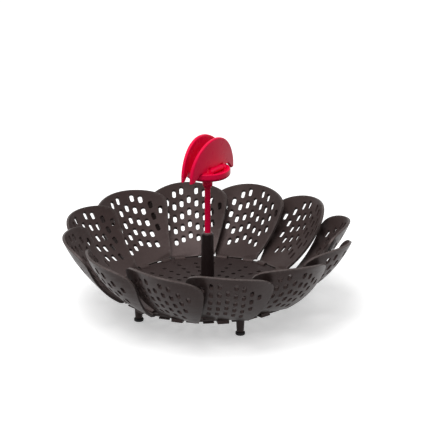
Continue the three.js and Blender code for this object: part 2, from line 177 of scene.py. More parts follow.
def plateFromOutline(obj, thickness, rounding, segments=2):
    # edge loops become a flat curve with holes, whose rounded edges come from its bevel
    workOn(obj)
    bpy.ops.object.convert(target="CURVE")
    curve = bpy.context.object.data
    curve.dimensions = "2D"
    curve.fill_mode = "BOTH"
    curve.offset = -rounding
    curve.extrude = thickness / 2 - rounding
    curve.bevel_depth = rounding
    curve.bevel_resolution = segments
    bpy.ops.object.convert(target="MESH")
    flat = bpy.context.object
    cleanNormals(flat)
    return flat


def cutAcross(obj, low, high, step, axis):
    # straight cuts, so that the flat sheet can follow a bend
    workOn(obj)
    bpy.ops.object.mode_set(mode="EDIT")
    normal = Vector((0, 0, 0))
    normal[axis] = 1
    count = max(1, round((high - low) / step))
    for index in range(1, count):
        at = Vector((0, 0, 0))
        at[axis] = low + (high - low) * index / count
        bpy.ops.mesh.select_all(action="SELECT")
        bpy.ops.mesh.bisect(plane_co=at, plane_no=normal)
    bpy.ops.object.mode_set(mode="OBJECT")


def extrudeAlongX(obj, length):
    # a flat face becomes a solid
    workOn(obj)
    bpy.ops.object.mode_set(mode="EDIT")
    bpy.ops.mesh.select_all(action="SELECT")
    bpy.ops.mesh.extrude_region_move(TRANSFORM_OT_translate={"value": (length, 0, 0)})
    bpy.ops.object.mode_set(mode="OBJECT")


def spinAll(obj, steps, angle, axis):
    # the whole mesh swept round an axis through the origin
    workOn(obj)
    bpy.ops.object.mode_set(mode="EDIT")
    bpy.ops.mesh.select_all(action="SELECT")
    bpy.ops.mesh.spin(steps=steps, angle=angle, center=(0, 0, 0), axis=axis)
    bpy.ops.object.mode_set(mode="OBJECT")
    cleanNormals(obj)


def turnedPiece(name, profile, sides):
    # a profile of (radius, height) spun round the vertical axis
    mesh = bpy.data.meshes.new(name)
    edges = [(index, index + 1) for index in range(len(profile) - 1)]
    mesh.from_pydata([(radius, 0, height) for radius, height in profile], edges, [])
    obj = newObject(name, mesh)
    spinAll(obj, sides, math.tau, (0, 0, 1))
    return obj


def makeTurned(name, profile, size, body, material, node):
    # a turned piece on the vertical axis, from its profile to its place and finish
    obj = turnedPiece(name, profile, size["sides"])
    roundEdges(obj, size["rounding"], size["segments"], size["edgeAngle"])
    softShade(obj)
    place(obj, Matrix.Identity(4))
    dress(obj, name, body, material, [node])


# Finishes

noiseRange = {"low": 0.3, "high": 0.7}
# the last three entries set the noise that breaks up the painted highlight along the rims
plasticNoise = {
    "mottleDetail": 4, "mottleRoughness": 0.6, "smearDetail": 5, "smearRoughness": 0.65,
    "grainDetail": 2, "grainRoughness": 0.5, "rimHighlightScale": 420, "rimHighlightDetail": 2, "rimHighlightRoughness": 0.5,
}
colourSockets = {"first": 6, "second": 7, "result": 2}


def newMaterial(name):
    material = bpy.data.materials.new(name)
    material.use_nodes = True
    nodes = material.node_tree.nodes
    shader = nodes["Principled BSDF"]
    return material, nodes, material.node_tree.links, shader


def noiseOn(nodes, links, coords, scale, detail, roughness):
    noise = nodes.new("ShaderNodeTexNoise")
    noise.inputs["Scale"].default_value = scale
    noise.inputs["Detail"].default_value = detail
    noise.inputs["Roughness"].default_value = roughness
    links.new(coords.outputs["Object"], noise.inputs["Vector"])
    return noise


def rangeOf(nodes, links, value, low, high):
    remap = nodes.new("ShaderNodeMapRange")
    remap.inputs["From Min"].default_value = noiseRange["low"]
    remap.inputs["From Max"].default_value = noiseRange["high"]
    remap.inputs["To Min"].default_value = low
    remap.inputs["To Max"].default_value = high
    links.new(value, remap.inputs["Value"])
    return remap.outputs["Result"]


def mixColours(nodes, links, factor, first, second):
    mix = nodes.new("ShaderNodeMix")
    mix.data_type = "RGBA"
    links.new(factor, mix.inputs["Factor"])
    for side, colour in (("first", first), ("second", second)):
        socket = mix.inputs[colourSockets[side]]
        if isinstance(colour, tuple):
            socket.default_value = (*colour, 1)
        else:
            links.new(colour, socket)
    return mix.outputs[colourSockets["result"]]


def mouldedPlastic(look):
    # tinted base with a faint flow mottle, fine grain in the gloss and the surface, and a painted
    # highlight along the rims, in patches set by noise
    material, nodes, links, shader = newMaterial(look["name"])
    coords = nodes.new("ShaderNodeTexCoord")
    mottle = noiseOn(nodes, links, coords, look["mottleScale"],
                     plasticNoise["mottleDetail"], plasticNoise["mottleRoughness"])
    patch = rangeOf(nodes, links, mottle.outputs["Fac"], 0, 1)
    base = mixColours(nodes, links, patch, look["colour"], look["colourSecond"])
    # painted highlight: a paler colour mixed in along the outer edge, in patches set by noise
    if look.get("rimHighlightColour"):
        rimHighlightMask = nodes.new("ShaderNodeAttribute")
        rimHighlightMask.attribute_name = "rimHighlightMask"
        rimHighlightNoise = noiseOn(nodes, links, coords, plasticNoise["rimHighlightScale"],
                        plasticNoise["rimHighlightDetail"], plasticNoise["rimHighlightRoughness"])
        rimHighlightShare = nodes.new("ShaderNodeMath")
        rimHighlightShare.operation = "MULTIPLY"
        links.new(rimHighlightMask.outputs["Fac"], rimHighlightShare.inputs[0])
        amount = rangeOf(nodes, links, rimHighlightNoise.outputs["Fac"], look["rimHighlightLow"], look["rimHighlightHigh"])
        links.new(amount, rimHighlightShare.inputs[1])
        base = mixColours(nodes, links, rimHighlightShare.outputs["Value"], base, look["rimHighlightColour"])
    links.new(base, shader.inputs["Base Color"])
    smear = noiseOn(nodes, links, coords, look["smearScale"],
                    plasticNoise["smearDetail"], plasticNoise["smearRoughness"])
    gloss = rangeOf(nodes, links, smear.outputs["Fac"], look["roughLow"], look["roughHigh"])
    links.new(gloss, shader.inputs["Roughness"])
    grain = noiseOn(nodes, links, coords, look["grainScale"],
                    plasticNoise["grainDetail"], plasticNoise["grainRoughness"])
    bump = nodes.new("ShaderNodeBump")
    bump.inputs["Strength"].default_value = look["grainStrength"]
    bump.inputs["Distance"].default_value = look["grainDepth"] * mm
    links.new(grain.outputs["Fac"], bump.inputs["Height"])
    links.new(bump.outputs["Normal"], shader.inputs["Normal"])
    shader.inputs["Specular IOR Level"].default_value = look["specular"]
    shader.inputs["Specular Tint"].default_value = (*look["tint"], 1)
    return material


def drawnSteel(look):
    # fine streaks in the tone and the gloss, drawn out along one axis
    material, nodes, links, shader = newMaterial(look["name"])
    coords = nodes.new("ShaderNodeTexCoord")
    streak = nodes.new("ShaderNodeMapping")
    streak.inputs["Scale"].default_value = look["streakStretch"]
    links.new(coords.outputs["Object"], streak.inputs["Vector"])
    noise = nodes.new("ShaderNodeTexNoise")
    noise.inputs["Scale"].default_value = look["streakScale"]
    noise.inputs["Detail"].default_value = look["streakDetail"]
    links.new(streak.outputs["Vector"], noise.inputs["Vector"])
    tone = mixColours(nodes, links, noise.outputs["Fac"], look["colour"], look["colourSecond"])
    links.new(tone, shader.inputs["Base Color"])
    gloss = rangeOf(nodes, links, noise.outputs["Fac"], look["roughLow"], look["roughHigh"])
    links.new(gloss, shader.inputs["Roughness"])
    shader.inputs["Metallic"].default_value = 1
    return material


# in the petal and plate finishes, the rim colour is a painted highlight along the outer edge
petalNylon = mouldedPlastic({
    "name": "petalNylon", "colour": (0.046, 0.032, 0.030), "colourSecond": (0.055, 0.039, 0.037),
    "mottleScale": 55, "rimHighlightColour": (0.13, 0.115, 0.11), "rimHighlightLow": 0.1, "rimHighlightHigh": 0.5,
    "smearScale": 90, "roughLow": 0.30, "roughHigh": 0.40,
    "grainScale": 2600, "grainStrength": 0.3, "grainDepth": 0.05, "specular": 0.21,
    "tint": (1, 0.78, 0.77),
})
# darker than the same nylon on the petals: painted shade on the plate, which the foot legs share
plateNylonPaintedShade = mouldedPlastic({
    "name": "plateNylonPaintedShade", "colour": (0.029, 0.019, 0.018), "colourSecond": (0.034, 0.023, 0.022),
    "mottleScale": 45, "rimHighlightColour": (0.12, 0.11, 0.105), "rimHighlightLow": 0.1, "rimHighlightHigh": 0.4,
    "smearScale": 80, "roughLow": 0.36, "roughHigh": 0.48,
    "grainScale": 2600, "grainStrength": 0.3, "grainDepth": 0.05, "specular": 0.28,
    "tint": (1, 0.88, 0.87),
})
tubePlastic = mouldedPlastic({
    "name": "tubePlastic", "colour": (0.010, 0.0055, 0.0055), "colourSecond": (0.013, 0.0075, 0.0075),
    "mottleScale": 60, "smearScale": 120, "roughLow": 0.28, "roughHigh": 0.4,
    "grainScale": 3200, "grainStrength": 0.2, "grainDepth": 0.03, "specular": 0.42,
    "tint": (1, 0.88, 0.88),
})
# paler and pinker than the black tube plastic: a painted reflection of the pale surroundings on the cap
capPaintedReflection = mouldedPlastic({
    "name": "capPaintedReflection", "colour": (0.16, 0.09, 0.095), "colourSecond": (0.19, 0.115, 0.12),
    "mottleScale": 90, "smearScale": 160, "roughLow": 0.3, "roughHigh": 0.42,
    "grainScale": 3200, "grainStrength": 0.2, "grainDepth": 0.03, "specular": 0.42,
    "tint": (1, 0.88, 0.88),
})
handleRed = mouldedPlastic({
    "name": "handleRed", "colour": (0.86, 0.0015, 0.055), "colourSecond": (0.92, 0.0025, 0.068),
    "mottleScale": 50, "smearScale": 110, "roughLow": 0.24, "roughHigh": 0.34,
    "grainScale": 2800, "grainStrength": 0.18, "grainDepth": 0.03, "specular": 0.18,
    "tint": (1, 0.55, 0.62),
})
soleSilicone = mouldedPlastic({
    "name": "soleSilicone", "colour": (0.022, 0.021, 0.022), "colourSecond": (0.030, 0.029, 0.030),
    "mottleScale": 120, "smearScale": 200, "roughLow": 0.62, "roughHigh": 0.8,
    "grainScale": 1900, "grainStrength": 0.5, "grainDepth": 0.06, "specular": 0.4,
    "tint": (1, 1, 1),
})
pinSteel = drawnSteel({
    "name": "pinSteel", "colour": (0.50, 0.50, 0.51), "colourSecond": (0.62, 0.62, 0.63),
    "streakStretch": (1, 1, 12), "streakScale": 500, "streakDetail": 4,
    "roughLow": 0.22, "roughHigh": 0.38,
})
print("finishes made")


# Petals

petal = {
    "count": 12, "firstTurn": 10.1, "hingeRadius": 81.6, "hingeLevel": 21.5,
    "thickness": 2.4, "rounding": 0.3, "length": 85.5, "halfWidth": 39.6, "sideGap": 1,
    "shoulderLength": 59.68, "sideEase": 1.38, "rootLength": 2.3, "openAngle": 27.8, "profileBend": 38,
    "skewAngle": 9.7, "skewRampLength": 5.5, "cupDepth": 16.7, "cupEase": 0.6, "cutStep": 4,
    "rimBand": 0.9, "sideSteps": 16, "tipSteps": 48, "probe": 0.2, "rimStep": 0.4,
}
slots = {
    "width": 3.8, "length": 7.9, "pitch": 12.91, "columnPitch": 7.35, "leanShare": 0.059, "sides": 16,
    "rowSlant": 4, "slant": 34, "startShares": (0.336, 0.289, 0.25, 0.448, 0.652),
    "counts": (4, 5, 5, 3, 1),
}
hooks = {
    "wall": 1.4, "bore": 2.05, "length": 10.5, "endInset": 2, "mouthStart": 200, "mouthEnd": 300,
    "tongueWidth": 11, "tongueReach": 5.5, "padLength": 2.4, "tongueThickness": 1.6, "plateHalf": 1.2,
    "rootShare": 0.25, "tongueGap": 0.35, "padGap": 0.3, "spinSteps": 22, "rounding": 0.3, "segments": 2,
}


def rootHalfWidth():
    return petal["hingeRadius"] * math.tan(math.pi / petal["count"]) - petal["sideGap"]


def hookStart():
    # where the hooks begin, from the middle of the petal
    return rootHalfWidth() - hooks["endInset"] - hooks["length"]


def petalHalfWidth(length):
    share = min(length / petal["shoulderLength"], 1)
    root = rootHalfWidth()
    return root + (petal["halfWidth"] - root) * (1 - (1 - share) ** petal["sideEase"])


def petalOutline():
    # eased sides up to the shoulder, then half an ellipse
    side = []
    sideLength = petal["shoulderLength"] - petal["rootLength"]
    for step in range(petal["sideSteps"]):
        length = petal["rootLength"] + sideLength * step / petal["sideSteps"]
        side.append((petalHalfWidth(length), length))
    tip = []
    tipLength = petal["length"] - petal["shoulderLength"]
    for step in range(petal["tipSteps"] + 1):
        turn = math.pi * step / petal["tipSteps"]
        length = petal["shoulderLength"] + tipLength * math.sin(turn)
        tip.append((petal["halfWidth"] * math.cos(turn), length))
    return side + tip + [(-x, y) for x, y in reversed(side)]


def slotPlaces():
    # a middle column and four to each side, which lean with the blade
    places = []
    for column, (share, count) in enumerate(zip(slots["startShares"], slots["counts"])):
        for hand in ((1,) if column == 0 else (-1, 1)):
            aside = hand * column * slots["columnPitch"]
            start = share * petal["length"] - aside * math.tan(math.radians(slots["rowSlant"]))
            for row in range(count):
                length = start + row * slots["pitch"]
                places.append((aside + slots["leanShare"] * length, length))
    return places


def eased(share):
    # 0 to 1 with a soft start and end
    return share * share * (3 - 2 * share)


def bladePoint(across, length):
    # a place on the flat blade, moved onto the bent, skewed and cupped one
    share = length / petal["length"]
    bend = math.radians(petal["profileBend"])
    start = math.radians(petal["openAngle"])
    angle = start + bend * share
    radius = petal["length"] / bend
    radial = radius * (math.sin(angle) - math.sin(start))
    height = radius * (math.cos(start) - math.cos(angle))
    ramp = eased(min(length / petal["skewRampLength"], 1))
    skew = across * math.tan(math.radians(petal["skewAngle"])) * ramp
    cup = petal["cupDepth"] * (across / petal["halfWidth"]) ** 2 * max(share, 0) ** petal["cupEase"]
    lift = skew + cup
    return Vector((across, radial - lift * math.sin(angle), height + lift * math.cos(angle)))


def bladeOffset(across, length, offset):
    here = bladePoint(across, length)
    aside = bladePoint(across + petal["probe"], length) - here
    ahead = bladePoint(across, length + petal["probe"]) - here
    return here + aside.cross(ahead).normalized() * offset


def outlineTree(points):
    # the outline's line as close points, to tell how far inside a place lies
    spots = []
    for (x0, y0), (x1, y1) in zip(points, points[1:] + points[:1]):
        pieces = max(1, round(math.hypot(x1 - x0, y1 - y0) / petal["rimStep"]))
        for piece in range(pieces):
            share = piece / pieces
            spots.append((x0 + (x1 - x0) * share, y0 + (y1 - y0) * share, 0))
    tree = KDTree(len(spots))
    for index, spot in enumerate(spots):
        tree.insert(spot, index)
    tree.balance()
    return tree


def insetAt(tree, vert):
    return tree.find((vert.co.x, vert.co.y, 0))[2]


def markRim(obj, tree, band):
    # 1 along the outer edge, 0 everywhere else: the mask for the painted highlight along the rim
    rimHighlightMask = obj.data.attributes.new("rimHighlightMask", "FLOAT", "POINT")
    for vert, value in zip(obj.data.vertices, rimHighlightMask.data):
        value.value = 1 if insetAt(tree, vert) < band else 0


def makeBlade():
    # a flat slotted sheet, cut into small fields that then take the blade's form
    obj = startOutline("blade", petalOutline())
    turn = -math.atan(slots["leanShare"])
    ovalHole(slots["width"], slots["length"], turn, slots["sides"], slotPlaces())
    obj = plateFromOutline(obj, petal["thickness"], petal["rounding"])
    cutAcross(obj, 0, petal["length"], petal["cutStep"], 1)
    cutAcross(obj, -petal["halfWidth"], petal["halfWidth"], petal["cutStep"], 0)
    tree = outlineTree(petalOutline())
    markRim(obj, tree, petal["rimBand"])
    lean = math.tan(math.radians(slots["slant"]))
    for vert in obj.data.vertices:
        # the slots come nearer to the hinge on their way out, the outer edge stays square to the blade
        inner = min(1, max(0, insetAt(tree, vert) / petal["rimBand"] - 1))
        shift = (vert.co.z - petal["thickness"] / 2) * lean * inner
        vert.co = bladeOffset(vert.co.x, vert.co.y + shift, vert.co.z)
    return obj


def makeHook(low):
    # a wall section spun round the hinge bar, open underneath
    start = math.radians(hooks["mouthEnd"] - 360)
    sweep = math.radians(hooks["mouthStart"]) - start
    middle = hooks["bore"] + hooks["wall"] / 2
    deselectAll()
    bpy.ops.mesh.primitive_plane_add(size=1, location=(0, 0, 0))
    obj = bpy.context.object
    for vert in obj.data.vertices:
        across = low + hooks["length"] * (vert.co.x + 0.5)
        radius = middle + hooks["wall"] * vert.co.y
        vert.co = (across, radius * math.cos(start), radius * math.sin(start))
    spinAll(obj, hooks["spinSteps"], sweep, (1, 0, 0))
    roundEdges(obj, hooks["rounding"], hooks["segments"])
    return obj


def makeTongue():
    # down outside the hinge bar, then in under the plate to a stop pad
    half = hooks["tongueWidth"] / 2
    outer = hooks["bore"] + hooks["wall"]
    low = -hooks["plateHalf"] - hooks["tongueGap"] - hooks["wall"] / 2 - hooks["tongueThickness"]
    top = low + hooks["tongueThickness"]
    root = bladePoint(0, petal["rootLength"])
    inset = petal["thickness"] * hooks["rootShare"]
    reach = -hooks["tongueReach"]
    padTop = -hooks["plateHalf"] - hooks["padGap"]
    profile = [(root.y - inset, root.z + inset), (hooks["bore"], 0), (hooks["bore"], top),
               (reach + hooks["padLength"], top), (reach + hooks["padLength"], padTop), (reach, padTop),
               (reach, low), (outer, low), (outer, 0), (root.y + inset, root.z - inset)]
    deselectAll()
    bpy.ops.mesh.primitive_circle_add(vertices=len(profile), radius=1, fill_type="NGON",
                                      location=(0, 0, 0))
    obj = bpy.context.object
    for vert, (y, z) in zip(obj.data.vertices, profile):
        vert.co = (-half, y, z)
    extrudeAlongX(obj, half * 2)
    cleanNormals(obj)
    roundEdges(obj, hooks["rounding"], hooks["segments"])
    return obj


def makePetals():
    # one petal with its hooks and its tongue, copied from hinge to hinge, clockwise from above
    parts = [makeHook(-hookStart() - hooks["length"]), makeHook(hookStart()), makeTongue()]
    first = joinInto(makeBlade(), parts)
    softShade(first)
    sector = 360 / petal["count"]
    for index in range(petal["count"]):
        obj = copyPiece(first)
        turn = Matrix.Rotation(math.radians(petal["firstTurn"] - sector * index), 4, "Z")
        place(obj, turn @ Matrix.Translation((0, petal["hingeRadius"] * mm, petal["hingeLevel"] * mm)))
        name = f"petal_{index + 1:02d}"
        dress(obj, f"petalLeaf{index + 1:02d}", name, petalNylon, [name])
    print("petals made:", len(first.data.polygons), "faces each")
    bpy.data.objects.remove(first)


makePetals()


# Base plate

plate = {
    "bottom": 20.3, "thickness": 2.4, "rounding": 0.4, "barWidth": 2.4, "apothem": 82.8,
    "windowInner": 77.8, "windowEndGap": 0.35, "holeWidth": 3.6, "holeLength": 5, "holeSides": 14,
    "rowShares": (0.409, 0.542, 0.674, 0.805), "innerShare": 0.272, "lines": 24,
    "postHole": 5.75, "postSides": 40, "footHole": 2.15, "footSides": 24, "footRadius": 72.6, "feet": 4,
    "rimBand": 0.7,
}
plateTop = plate["bottom"] + plate["thickness"]


def atTurn(radius, across, turn):
    return (radius * math.cos(turn) - across * math.sin(turn),
            radius * math.sin(turn) + across * math.cos(turn))


def ringPoints(radius, sides, x=0, y=0):
    turns = [math.tau * step / sides for step in range(sides)]
    return [(x + radius * math.cos(turn), y + radius * math.sin(turn)) for turn in turns]


def makePlate():
    # a twelve-sided sheet with two windows per side, behind the hinge bars, and rows of holes
    sector = math.tau / petal["count"]
    corner = plate["apothem"] / math.cos(sector / 2)
    corners = [atTurn(corner, 0, sector * (side + 0.5)) for side in range(petal["count"])]
    obj = startOutline("plate", corners)
    near = hookStart() - plate["windowEndGap"]
    far = hookStart() + hooks["length"] + plate["windowEndGap"]
    barFace = petal["hingeRadius"] - plate["barWidth"] / 2
    for side in range(petal["count"]):
        for hand in (-1, 1):
            ring = [(plate["windowInner"], hand * near), (barFace, hand * near),
                    (barFace, hand * far), (plate["windowInner"], hand * far)]
            loopAt([atTurn(radius, across, side * sector) for radius, across in ring])
    for line in range(plate["lines"]):
        turn = math.tau * line / plate["lines"]
        radii = [share * petal["hingeRadius"] for share in plate["rowShares"]]
        if line % 2 == 0:
            radii.append(plate["innerShare"] * petal["hingeRadius"])
        places = [atTurn(radius, 0, turn) for radius in radii]
        outward = turn - math.pi / 2
        ovalHole(plate["holeWidth"], plate["holeLength"], outward, plate["holeSides"], places)
    loopAt(ringPoints(plate["postHole"], plate["postSides"]))
    for index in range(plate["feet"]):
        x, y = atTurn(plate["footRadius"], 0, sector / 2 + math.tau * index / plate["feet"])
        loopAt(ringPoints(plate["footHole"], plate["footSides"], x, y))
    obj = plateFromOutline(obj, plate["thickness"], plate["rounding"])
    markRim(obj, outlineTree(corners), plate["rimBand"])
    softShade(obj)
    lift = Matrix.Translation((0, 0, (plate["bottom"] + plate["thickness"] / 2) * mm))
    place(obj, lift @ Matrix.Rotation(math.radians(petal["firstTurn"]), 4, "Z"))
    dress(obj, "perforatedPlate", "base", plateNylonPaintedShade, ["base_plate"])
    print("plate made:", len(obj.data.polygons), "faces")


makePlate()


# Centre tube, cap, washer and nut

tube = {
    "top": 77.6, "topRadius": 5.75, "footRadius": 6.6, "bore": 4.1, "flangeRadius": 9.5,
    "flangeThickness": 1.8, "stubRadius": 5.4, "stubLength": 14,
    "sides": 64, "rounding": 0.35, "segments": 3, "edgeAngle": 35,
}
cap = {
    "radius": 4.7, "height": 1.5, "chamfer": 0.5, "spigotLength": 3.4, "spigotRadius": 3.9, "bore": 3.15,
    "sides": 64, "rounding": 0.25, "segments": 2, "edgeAngle": 25,
}
washer = {
    "inner": 5.6, "outer": 9, "thickness": 1,
    "sides": 64, "rounding": 0.15, "segments": 2, "edgeAngle": 35,
}
nut = {
    "cornerRadius": 9.2, "sides": 6, "inner": 5.6, "boreSides": 48, "thickness": 4.6, "rounding": 0.5,
    "segments": 3,
}


def makeTube():
    low = plate["bottom"] - tube["stubLength"]
    flangeTop = plateTop + tube["flangeThickness"]
    profile = [(tube["bore"], low), (tube["stubRadius"], low), (tube["stubRadius"], plateTop),
               (tube["flangeRadius"], plateTop), (tube["flangeRadius"], flangeTop),
               (tube["footRadius"], flangeTop), (tube["topRadius"], tube["top"]),
               (tube["bore"], tube["top"]), (tube["bore"], low)]
    makeTurned("postTube", profile, tube, "base", tubePlastic, "centre_tube")


def makeCap():
    low = tube["top"] - cap["spigotLength"]
    top = tube["top"] + cap["height"]
    profile = [(cap["bore"], low), (cap["spigotRadius"], low), (cap["spigotRadius"], tube["top"]),
               (cap["radius"], tube["top"]), (cap["radius"], top - cap["chamfer"]),
               (cap["radius"] - cap["chamfer"], top), (cap["bore"], top), (cap["bore"], low)]
    makeTurned("postCap", profile, cap, "base", capPaintedReflection, "tube_cap")


def makeWasher():
    low = plate["bottom"] - washer["thickness"]
    profile = [(washer["inner"], low), (washer["outer"], low), (washer["outer"], plate["bottom"]),
               (washer["inner"], plate["bottom"]), (washer["inner"], low)]
    makeTurned("plateWasher", profile, washer, "base", pinSteel, "tube_washer")


def makeNut():
    # a six-sided outline with a round hole, whose upper and lower corners are rounded off
    top = plate["bottom"] - washer["thickness"]
    obj = startOutline("nut", ringPoints(nut["cornerRadius"], nut["sides"]))
    loopAt(ringPoints(nut["inner"], nut["boreSides"]))
    obj = plateFromOutline(obj, nut["thickness"], nut["rounding"], nut["segments"])
    softShade(obj)
    place(obj, Matrix.Translation((0, 0, (top - nut["thickness"] / 2) * mm)))
    dress(obj, "tubeNut", "base", tubePlastic, ["tube_nut"])


makeTube()
makeCap()
makeWasher()
makeNut()
print("post made")


# Lifting rod

rod = {
    "radius": 2.8, "low": 69.7, "pistonTop": 73.7, "spigotRadius": 1.3, "hubBottom": 135.8,
    "collarRadius": 4.9, "collarHeight": 13.3, "collarBand": 8.6, "flareSteps": 8, "socket": 2,
    "sides": 48, "rounding": 0.3, "segments": 2, "edgeAngle": 50,
}


def makeRod():
    # a spigot for the piston, the shaft, a flare up to the collar and the end in the hub
    profile = [(0, rod["low"]), (rod["spigotRadius"], rod["low"]),
               (rod["spigotRadius"], rod["pistonTop"]), (rod["radius"], rod["pistonTop"])]
    flareLow = rod["hubBottom"] - rod["collarHeight"]
    flareHigh = rod["hubBottom"] - rod["collarBand"]
    for step in range(rod["flareSteps"] + 1):
        share = step / rod["flareSteps"]
        wider = (rod["collarRadius"] - rod["radius"]) * eased(share)
        profile.append((rod["radius"] + wider, flareLow + (flareHigh - flareLow) * share))
    profile += [(rod["collarRadius"], rod["hubBottom"]), (rod["radius"], rod["hubBottom"]),
                (rod["radius"], rod["hubBottom"] + rod["socket"]), (0, rod["hubBottom"] + rod["socket"])]
    makeTurned("liftRod", profile, rod, "lift", handleRed, "lift_rod")


makeRod()
print("rod made")


# Handle hub and its leaves

hub = {
    "turn": 53.6, "radius": 22, "thickness": 8, "lipWidth": 3, "floor": 5.4,
    "dishSlope": 2.5, "chamfer": 2.4, "socketRadius": 3, "socketDepth": 2.2,
    "sides": 96, "rounding": 1.1, "segments": 3, "edgeAngle": 25,
}
ear = {
    "start": 8.35, "thickness": 3, "radius": 2.3, "sides": 28, "rounding": 0.35, "segments": 2,
    "edgeAngle": 50, "mergeDistance": 0.01,
}
pin = {
    "offset": 11.2, "height": 8.8, "radius": 1, "length": 21.1,
    "sides": 32, "rounding": 0.3, "segments": 3,
}
leaf = {
    "halfLength": 34, "endShare": 0.99, "rise": 36.8, "centre": 2.2, "thickness": 3.4, "rounding": 1.3,
    "bow": 3.4, "plane": 8.2, "tipDrop": 7.4, "tipWidth": 4.2, "hubGap": 0.5, "earGap": 0.5,
    "runningGap": 0.35, "cutStep": 3, "arcSteps": 64, "segments": 4,
    "barrelRadius": 2.2, "barrelLength": 16, "barrelSides": 40, "barrelRounding": 0.35,
    "barrelSegments": 2, "barrelEdgeAngle": 50, "webShare": 0.25, "webRounding": 0.3, "webSegments": 2,
}


def handlePlace(half=0):
    # on top of the rod, turned as seen; half a turn more for the leaf opposite
    turn = Matrix.Rotation(math.radians(hub["turn"]) + half, 4, "Z")
    return Matrix.Translation((0, 0, rod["hubBottom"] * mm)) @ turn


def makeHub():
    # a dish with a raised lip, and four ears for the pins
    profile = [(0, hub["socketDepth"]), (hub["socketRadius"], hub["socketDepth"]),
               (hub["socketRadius"], 0), (hub["radius"] - hub["chamfer"], 0),
               (hub["radius"], hub["chamfer"]), (hub["radius"], hub["thickness"]),
               (hub["radius"] - hub["lipWidth"], hub["thickness"]),
               (hub["radius"] - hub["lipWidth"] - hub["dishSlope"], hub["floor"]), (0, hub["floor"])]
    obj = turnedPiece("hub", profile, hub["sides"])
    roundEdges(obj, hub["rounding"], hub["segments"], hub["edgeAngle"])
    ears = []
    for side in (-1, 1):
        for end in (-1, 1):
            near = ear["start"] if end > 0 else -ear["start"] - ear["thickness"]
            ears.append(makeEar(near, side * pin["offset"]))
    joinInto(obj, ears)
    softShade(obj)
    place(obj, handlePlace())
    dress(obj, "handleHub", "lift", handleRed, ["handle_hub"])


def makeEar(near, y):
    # a round-topped lug that stands on the dish floor
    deselectAll()
    bpy.ops.mesh.primitive_circle_add(vertices=ear["sides"], radius=ear["radius"], fill_type="NGON",
                                      location=(0, 0, 0))
    obj = bpy.context.object
    sunk = pin["height"] - hub["floor"] + hub["chamfer"]
    for vert in obj.data.vertices:
        up = vert.co.y
        if up < 0:
            up = -sunk
            beside = abs(vert.co.x) > ear["mergeDistance"]
            vert.co.x = math.copysign(ear["radius"], vert.co.x) if beside else 0
        vert.co = (near, y + vert.co.x, pin["height"] + up)
    extrudeAlongX(obj, ear["thickness"])
    cleanNormals(obj, ear["mergeDistance"])
    roundEdges(obj, ear["rounding"], ear["segments"], ear["edgeAngle"])
    return obj


def leafOutline():
    # a half ellipse whose lower edge clears the hub and leaves notches for its ears
    low = pin["height"] - leaf["tipDrop"]
    gapTop = pin["height"] - leaf["earGap"]
    earLow = ear["start"] - leaf["runningGap"]
    earHigh = ear["start"] + ear["thickness"] + leaf["runningGap"]
    earTop = pin["height"] + ear["radius"] + leaf["runningGap"]
    points = []
    reach = leaf["endShare"]
    for step in range(leaf["arcSteps"] + 1):
        along = reach * math.cos(math.pi * step / leaf["arcSteps"])
        rise = leaf["rise"] * math.sqrt(max(0, 1 - along * along))
        points.append((along * leaf["halfLength"], leaf["centre"] + rise))
    points.append((-reach * leaf["halfLength"], low))
    footHalf = hub["radius"] + leaf["hubGap"]
    tipHalf = leaf["halfLength"] - leaf["tipWidth"]
    points += [(-tipHalf, low), (-footHalf, gapTop), (-earHigh, gapTop), (-earHigh, earTop),
               (-earLow, earTop), (-earLow, gapTop), (earLow, gapTop), (earLow, earTop),
               (earHigh, earTop), (earHigh, gapTop), (footHalf, gapTop), (tipHalf, low),
               (reach * leaf["halfLength"], low)]
    return points


def crossBar(radius, length, side, sides):
    # a round bar along the hinge line of the leaf at this side
    deselectAll()
    bpy.ops.mesh.primitive_cylinder_add(vertices=sides, radius=radius, depth=length,
                                        location=(0, side, pin["height"]), rotation=(0, math.pi / 2, 0))
    bpy.ops.object.transform_apply(location=True, rotation=True, scale=True)
    return bpy.context.object


def makeLeaf():
    # the outline stood up and bowed, with a barrel for the pin and a web between them
    obj = startOutline("leaf", leafOutline())
    obj = plateFromOutline(obj, leaf["thickness"], leaf["rounding"], leaf["segments"])
    cutAcross(obj, -leaf["halfLength"], leaf["halfLength"], leaf["cutStep"], 0)
    for vert in obj.data.vertices:
        along, up, out = vert.co
        share = along / leaf["halfLength"]
        vert.co = (along, leaf["plane"] - leaf["bow"] * share * share - out, up)
    barrel = crossBar(leaf["barrelRadius"], leaf["barrelLength"], pin["offset"], leaf["barrelSides"])
    roundEdges(barrel, leaf["barrelRounding"], leaf["barrelSegments"], leaf["barrelEdgeAngle"])
    inner = leaf["plane"] - leaf["thickness"] * leaf["webShare"]
    middle = pin["height"] + (leaf["barrelRadius"] - leaf["earGap"]) / 2
    tall = leaf["barrelRadius"] + leaf["earGap"]
    deselectAll()
    bpy.ops.mesh.primitive_cube_add(size=1, location=(0, (inner + pin["offset"]) / 2, middle),
                                    scale=(leaf["barrelLength"], pin["offset"] - inner, tall))
    web = bpy.context.object
    bpy.ops.object.transform_apply(location=True, rotation=True, scale=True)
    roundEdges(web, leaf["webRounding"], leaf["webSegments"])
    joinInto(obj, [barrel, web])
    softShade(obj)
    return obj


